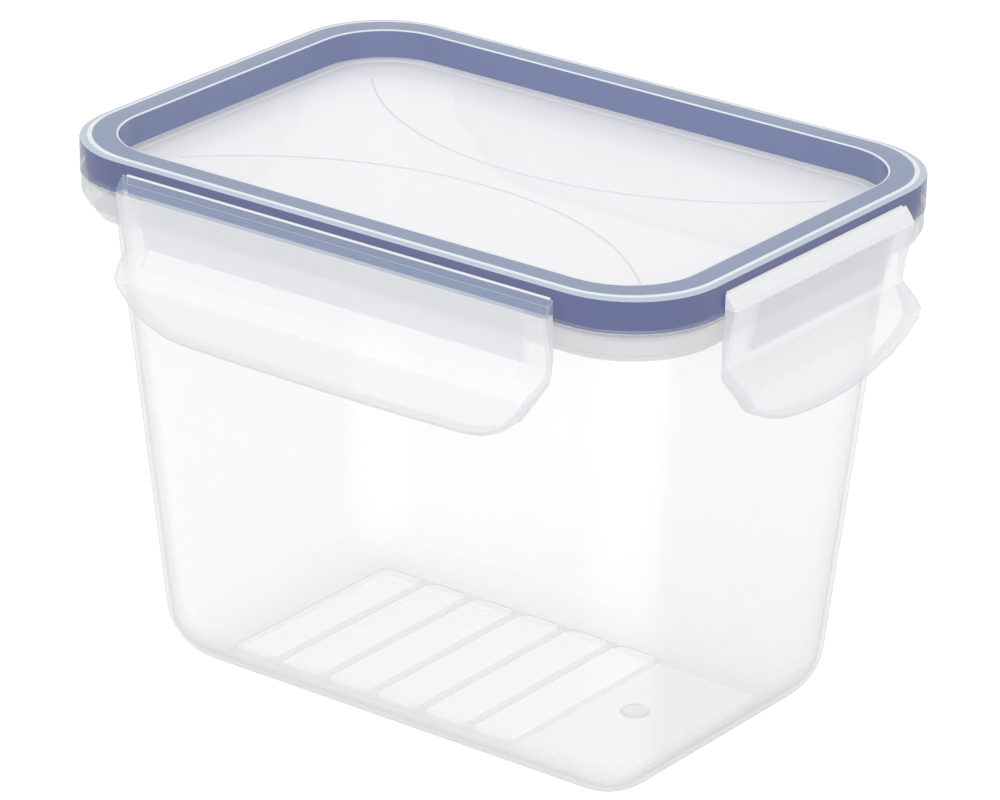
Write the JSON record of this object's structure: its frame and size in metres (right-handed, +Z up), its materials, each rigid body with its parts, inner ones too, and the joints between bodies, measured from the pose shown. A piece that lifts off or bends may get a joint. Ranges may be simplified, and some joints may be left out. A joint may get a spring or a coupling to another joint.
{
  "type": "snap lid food container",
  "caption": "Deep rectangular food storage container with draft walls, a clear sealed lid and hinged snap clips that swing out so the lid lifts off.",
  "frame": {"origin": "Centre of the flat base that the container stands on.", "axes": "+Z up; +X along the long side of the lid; +Y towards the back long side."},
  "size_m": [0.1762, 0.1278, 0.125],
  "materials": {
    "hazy_plastic": "translucent, slightly hazy moulded polypropylene",
    "clear_plastic": "clear glossy moulded polypropylene",
    "clip_plastic": "clear glossy moulded polypropylene, a little hazy",
    "seal_rubber": "smooth satin blue elastomer"
  },
  "bodies": {
    "container": {"container": "hazy_plastic"},
    "lid": {"lid": "clear_plastic", "seal": "seal_rubber", "hinge_front": "clip_plastic", "hinge_back": "clip_plastic", "hinge_left": "clip_plastic", "hinge_right": "clip_plastic"},
    "clip_front": {"clip_front": "clip_plastic"},
    "clip_back": {"clip_back": "clip_plastic"},
    "clip_left": {"clip_left": "clip_plastic"},
    "clip_right": {"clip_right": "clip_plastic"}
  },
  "joints": [
    {"name": "lid_lift", "type": "slide", "parent": "container", "child": "lid", "axis": [0, 0, 1], "range_m": [0, 0.12]},
    {"name": "clip_front_hinge", "type": "hinge", "parent": "lid", "child": "clip_front", "pos_m": [0, -0.05755, 0.1224], "axis": [-1, 0, 0], "range_deg": [0, 115]},
    {"name": "clip_back_hinge", "type": "hinge", "parent": "lid", "child": "clip_back", "pos_m": [0, 0.05755, 0.1224], "axis": [1, 0, 0], "range_deg": [0, 115]},
    {"name": "clip_left_hinge", "type": "hinge", "parent": "lid", "child": "clip_left", "pos_m": [-0.08175, 0, 0.1224], "axis": [0, 1, 0], "range_deg": [0, 115]},
    {"name": "clip_right_hinge", "type": "hinge", "parent": "lid", "child": "clip_right", "pos_m": [0.08175, 0, 0.1224], "axis": [0, -1, 0], "range_deg": [0, 115]}
  ]
}
